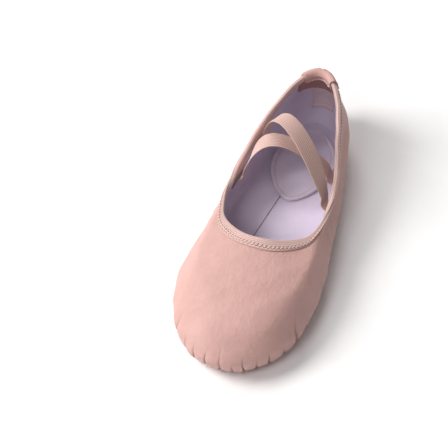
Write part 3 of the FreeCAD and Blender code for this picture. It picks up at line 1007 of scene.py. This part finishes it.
def make_heel_tab():
    outside = -TAPE_GAP - TAPE_THICK - TAB_GAP
    inside = LINING_IN + TAPE_GAP + TAPE_THICK + TAB_GAP
    path = rim_fold(outside, inside, TAB_LOW, TAB_LOW_INSIDE, TAB_RISE, 22)
    section = rounded_section(path, TAB_THICK)
    angles = np.linspace(math.pi - TAB_HALF_ANGLE, math.pi + TAB_HALF_ANGLE, 90)
    distance, depth = section[:, 0], section[:, 1]
    across = (angles - math.pi)[:, None]
    pucker = 0.16 * np.sin(across * 62) * ease(5.0, 8.5, distance)
    sag = np.cos(across / TAB_HALF_ANGLE * math.pi / 2)
    grid_d = distance + sag * (distance < 0)
    grid_a = angles[:, None]
    bulge = pucker * np.where(depth < 1, 1, -1)
    points = layer(grid_a, below_rim(grid_a, grid_d), depth + bulge)
    piece = grid_object("heel_tab_leather", points)
    dress(piece, LEATHER_MATERIAL)
    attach(piece, "heel")
    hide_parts("heel_tab")
    reach = TAB_HALF_ANGLE - 0.03
    marks = topline_marks(6.0, 2.7, math.pi - reach, math.pi + reach)
    pairs = [(a + (b - a) * 0.14, b - (b - a) * 0.14) for a, b in zip(marks, marks[1:])]
    for name, depth, node, row in (
        ("heel_tab_thread", outside - 0.6, "heel_tab_stitches", 8.2),
        ("heel_tab_thread_inside", inside + 0.75, None, 4.6),
    ):
        starts = [(a, row) for a, _ in pairs]
        ends = [(b, row) for _, b in pairs]
        thread = surface_stitches(name, starts, ends, depth, 0.34, 0.26, 0.3)
        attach(thread, "heel")
        if node:
            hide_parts(node)


def inside_patch(name, half_angle, top, low_edge, thick, material, node, ribs=0):
    """A patch on the lining inside the heel, from top down to low_edge(across)."""
    angles = np.linspace(math.pi - half_angle, math.pi + half_angle, 60)
    across = (angles - math.pi) / half_angle
    shares = np.linspace(0, 1, 30)
    bottom = low_edge(across)
    grid_d = top + (bottom - top)[:, None] * shares
    grid_a = angles[:, None]
    edge = np.minimum(1 - np.abs(across)[:, None], np.minimum(shares, 1 - shares) * 2)
    crown = thick * ease(-0.02, 0.10, edge)
    near = layer(grid_a, below_rim(grid_a, grid_d), LINING_IN + 0.12 + crown)
    far = layer(grid_a, below_rim(grid_a, grid_d), LINING_IN + 0.05)
    rows, columns = near.shape[:2]
    index = np.arange(rows * columns).reshape(rows, columns)
    sides = index[:, 0], index[-1, 1:], index[-2::-1, -1], index[0, -2:0:-1]
    piece = two_faced(name, near, far, np.concatenate(sides).tolist(), close_rows=False)
    # Stripes darkened across the patch where ribs would lie: painted shade, with no ribs in the
    # mesh.
    rib_values = 0.5 - 0.5 * np.cos(shares * 2 * math.pi * ribs)
    paint(piece, "rib", np.tile(rib_values, 2 * rows))
    weld(piece)
    dress(piece, material)
    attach(piece, "heel")
    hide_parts(node)


def make_heel_facing():
    def low_edge(across):
        return 23.4 - 2.0 * np.abs(across) ** 1.5 - 2.0 * across

    # The facing's darker leather is painted shade of the heel's inner face.
    inside_patch(
        "heel_facing_leather", 0.44, 7.2, low_edge, 1.0, SHADED_FACING_MATERIAL, "heel_facing"
    )
    across = np.linspace(-0.9, 0.9, 16)
    marks = list(zip(math.pi + across * 0.44, low_edge(across) - 1.6))
    starts = marks[:-1]
    ends = [(a + (b - a) * 0.72, d + (e - d) * 0.72) for (a, d), (b, e) in zip(marks, marks[1:])]
    thread = surface_stitches("heel_facing_thread", starts, ends, LINING_IN + 1.2)
    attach(thread, "heel")


def make_back_seam_tape():
    top, high, half = 24.6, 15.0, 0.2
    inside_patch(
        "back_seam_tape_cloth", half, top, lambda across: top + high + 0 * across, 0.75,
        SEAM_TAPE_MATERIAL, "back_seam_tape", ribs=10,
    )
    starts, ends = [], []
    for side in (-0.8, 0.8):
        for d in np.arange(top + 1.2, top + high - 1.5, 2.4):
            starts.append((math.pi + side * half, d))
            ends.append((math.pi + side * half, d + 1.7))
    for d in (top + 1.2, top + high - 1.2):
        for a in np.arange(-0.72, 0.62, 0.3):
            starts.append((math.pi + a * half, d))
            ends.append((math.pi + (a + 0.2) * half, d))
    thread = surface_stitches("back_seam_thread", starts, ends, LINING_IN + 0.95)
    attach(thread, "heel")
    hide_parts("back_seam_stitches")


# ---------------- elastics

STRAP_WIDE = 11.5
STRAP_THICK = 0.85
# Each elastic: the angles of its left and right feet, and the heights that pull its arch up.
STRAPS = {
    "upper": (-2.02, 1.66, 102.0, 60.0),
    "lower": (-1.75, 1.89, 88.0, 42.0),
}
STRAP_CRESTS = (0.11, 0.66)
STRAP_START = 9.5
STRAP_FOOT_DEPTH = 5.2
STRAP_RIM_DEPTH = 7.2
STRAP_ABOVE_RIM = 1.0
STRAP_END_LOW = 18.0
STRAP_END_DEPTH = LINING_IN + 0.75
STRAP_TURN_SHARE = 0.75
ARCH_STEPS = 90
LEG_STEPS = 22


def bezier(controls, t):
    degree = len(controls) - 1
    t = np.asarray(t)[:, None]
    return sum(
        control * math.comb(degree, i) * (1 - t) ** (degree - i) * t**i
        for i, control in enumerate(controls)
    )


def strap_course(name):
    """The middle line of an elastic from one sewn end to the other, and its way across."""
    left, right, left_pull, right_pull = STRAPS[name]

    def wall_point(angle, distance, depth):
        level = below_rim(angle, distance)
        return smooth_skin(angle, level) - skin_frame(angle, level)[2] * depth

    feet = [wall_point(a, STRAP_START, STRAP_FOOT_DEPTH) for a in (left, right)]
    lips = [wall_point(a, -STRAP_ABOVE_RIM, STRAP_RIM_DEPTH) for a in (left, right)]
    reach = lips[1] - lips[0]
    crests = [lips[0] + reach * share for share in STRAP_CRESTS]
    crests[0][2] = left_pull
    crests[1][2] = right_pull
    controls = [feet[0], lips[0], *crests, lips[1], feet[1]]
    arch = bezier(controls, np.linspace(0, 1, ARCH_STEPS))
    legs = []
    for angle in (left, right):
        down = np.linspace(STRAP_END_LOW, STRAP_START + 0.8, LEG_STEPS)
        lean = (STRAP_FOOT_DEPTH - STRAP_END_DEPTH) * ease(13.5, 9.0, down)
        depth = STRAP_END_DEPTH + lean
        legs.append(np.array([wall_point(angle, d, q) for d, q in zip(down, depth)]))
    line = np.concatenate([legs[0], arch, legs[1][::-1]])
    for _ in range(3):
        line[1:-1] = (line[:-2] + 2 * line[1:-1] + line[2:]) / 4
    chord = feet[1] - feet[0]
    middle = unit(np.array([-chord[1], chord[0], 0.0]))
    ways = []
    for angle in (left, right):
        along = skin_frame(angle, below_rim(angle, STRAP_START))[0]
        ways.append(along if along[1] > 0 else -along)
    place = np.pad(np.linspace(0, 1, ARCH_STEPS), LEG_STEPS, mode="edge")
    share = ease(0, STRAP_TURN_SHARE, 1 - np.abs(2 * place - 1))[:, None]
    foot_way = np.where((place < 0.5)[:, None], ways[0], ways[1])
    across = foot_way * (1 - share) + middle * share
    ahead = unit(np.gradient(line, axis=0))
    across = unit(across - ahead * (across * ahead).sum(1, keepdims=True))
    return line, ahead, across


def make_strap(name):
    line, ahead, across = strap_course(name)
    over = np.cross(ahead, across)
    half = STRAP_WIDE / 2
    spots = np.linspace(-half, half, 46)
    ribs = 0.5 - 0.5 * np.cos((spots + half) / STRAP_WIDE * 2 * math.pi * 9)
    rim = np.sqrt(np.clip(1 - (np.abs(spots) / half) ** 10, 0, 1))
    bulk = (STRAP_THICK / 2) * rim - 0.13 * (1 - ribs) * rim
    top = np.stack([spots, bulk], 1)
    section = np.concatenate([top, (top * [1, -1])[::-1][1:-1]])
    # The grooves between the ribs are darkened in the elastic's colour: painted shade.
    rib_values = np.concatenate([1 - ribs, (1 - ribs)[::-1][1:-1]])
    travel = travelled(line)
    edge_wave = 1 + 0.012 * np.sin(travel * 1.1) + 0.01 * np.sin(travel * 0.43 + 1)
    curl = 0.35 * np.sin(travel * 0.11 + (1 if name == "upper" else 2.6))
    rows = []
    for p, a, o, wave, bend in zip(line, across, over, edge_wave, curl):
        s = section[:, 0:1] * wave
        h = section[:, 1:2] + bend * (1 - (s / half) ** 2) * 0.6
        rows.append(p + a * s + o * h)
    piece = grid_object(f"elastic_{name}", np.stack(rows), ribs=np.tile(rib_values, len(line)))
    dress(piece, ELASTIC_MATERIAL)
    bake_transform(piece)
    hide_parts(f"strap_{name}", f"strap_{name}_end_left", f"strap_{name}_end_right")
    make_strap_stitches(name, line, across, over)


TACK_HALF = 4.6
TACK_PITCH = 2.2


def make_strap_stitches(name, line, across, over):
    """A sewn box of stitches on each end of an elastic."""
    paths = []
    for first, last in ((1, 15), (len(line) - 2, len(line) - 16)):
        step = 1 if last > first else -1
        low, high = line[first + step], line[last]
        side = across[first] * TACK_HALF
        middle = (low + high) / 2
        inward = unit(np.array([-middle[0], 0.0, 0.35 * abs(middle[0])]))
        face = over[first] * np.sign(over[first] @ inward) * (STRAP_THICK / 2)
        corners = [low - side, low + side, high + side, high - side]
        for a, b in zip(corners, corners[1:] + corners[:1]):
            count = max(int(np.linalg.norm(b - a) / TACK_PITCH), 1)
            for i in range(count):
                start = a + (b - a) * (i + 0.12) / count + face
                end = a + (b - a) * (i + 0.88) / count + face
                paths.append(stitch_path(start, end, unit(face), 0.22, 0.3))
    thread = sew(f"elastic_{name}_stitches", paths)
    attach(thread, "heel")


# ---------------- stage

FLOOR_HALF_WIDE = 2.2
FLOOR_STEPS = 24

# Each light: its place in metres, its width, its power and its colour.
LIGHTS = {
    "key": ((-0.80, -0.25, 0.75), 0.6, 11.8, (1.0, 0.99, 0.98)),
    "front": ((-0.25, -0.75, 0.9), 0.5, 3.4, (1.0, 1.0, 1.0)),
    "back": ((-0.35, 0.9, 0.8), 0.7, 5.5, (1.0, 1.0, 1.0)),
}
LIGHTS_AIM = (0, 0, 0.02)
SKY_COLOUR = (1.0, 0.94, 0.96, 1.0)
SKY_STRENGTH = 0.24


def make_stage():
    xs = np.linspace(-FLOOR_HALF_WIDE, FLOOR_HALF_WIDE, FLOOR_STEPS)
    grid_x, grid_y = np.meshgrid(xs, xs, indexing="ij")
    points = np.stack([grid_x, grid_y, 0 * grid_x], -1).reshape(-1, 3)
    floor = add_object("studio_floor", points, grid_faces(FLOOR_STEPS, FLOOR_STEPS, 0))
    n = Nodes("studio_paper")
    fibre = n.noise(60.0, 3.0)
    colour = n.ramp(fibre, [(0.3, tint(250, 250, 250)), (0.7, tint(253, 253, 253))])
    normal = n.bump(fibre, 0.0002, 0.1)
    floor.data.materials.append(n.finish(colour, normal, 0.9, specular=0.1))


def add_light(name, place, size, power, colour):
    data = bpy.data.lights.new(name, "AREA")
    data.shape = "DISK"
    data.size = size
    data.energy = power
    data.color = colour
    light = bpy.data.objects.new(name, data)
    light.location = place
    way = Vector(LIGHTS_AIM) - Vector(place)
    light.rotation_euler = way.to_track_quat("-Z", "Y").to_euler()
    bpy.context.scene.collection.objects.link(light)


def make_lights():
    for name, settings in LIGHTS.items():
        add_light(name, *settings)
    world = bpy.data.worlds.new("studio")
    world.use_nodes = True
    background = world.node_tree.nodes["Background"]
    background.inputs["Color"].default_value = SKY_COLOUR
    background.inputs["Strength"].default_value = SKY_STRENGTH
    bpy.context.scene.world = world
    bpy.context.scene.view_settings.view_transform = "Standard"


# The camera looks at a point above the sole from the front right and from above, from far
# enough that lines stay nearly parallel. The width is what the picture takes in there, in
# metres. The slipper stands right of the picture's middle.
VIEW_AZIMUTH = 17.9
VIEW_ELEVATION = 47.9
VIEW_DISTANCE = 1.5
VIEW_WIDTH = 0.278954
VIEW_AIM = Vector((0, 0, 0.02))
SLIPPER_RIGHT_MM = 30.5
SLIPPER_UP_MM = 1.5


def make_camera():
    azimuth, elevation = math.radians(VIEW_AZIMUTH), math.radians(VIEW_ELEVATION)
    level_back = Vector((math.sin(azimuth), -math.cos(azimuth), 0))
    back = level_back * math.cos(elevation) + Vector((0, 0, math.sin(elevation)))
    right = Vector((math.cos(azimuth), math.sin(azimuth), 0))
    up = back.cross(right)
    offset = right * SLIPPER_RIGHT_MM * MM + up * SLIPPER_UP_MM * MM
    data = bpy.data.cameras.new("camera")
    data.sensor_width = 36.0
    data.lens = data.sensor_width * VIEW_DISTANCE / VIEW_WIDTH
    data.clip_start = 0.05
    camera = bpy.data.objects.new("camera", data)
    camera.location = VIEW_AIM + back * VIEW_DISTANCE - offset
    camera.rotation_euler = (-back).to_track_quat("-Z", "Y").to_euler()
    bpy.context.scene.collection.objects.link(camera)
    bpy.context.scene.camera = camera


make_upper()
make_lining()
make_lining_seam()
make_insoles()
make_pads()
make_arch_seam()
make_binding()
make_topline_cord()
make_binding_stitches()
make_heel_tab()
make_heel_facing()
make_back_seam_tape()
for strap_name in STRAPS:
    make_strap(strap_name)
make_stage()
make_lights()
make_camera()
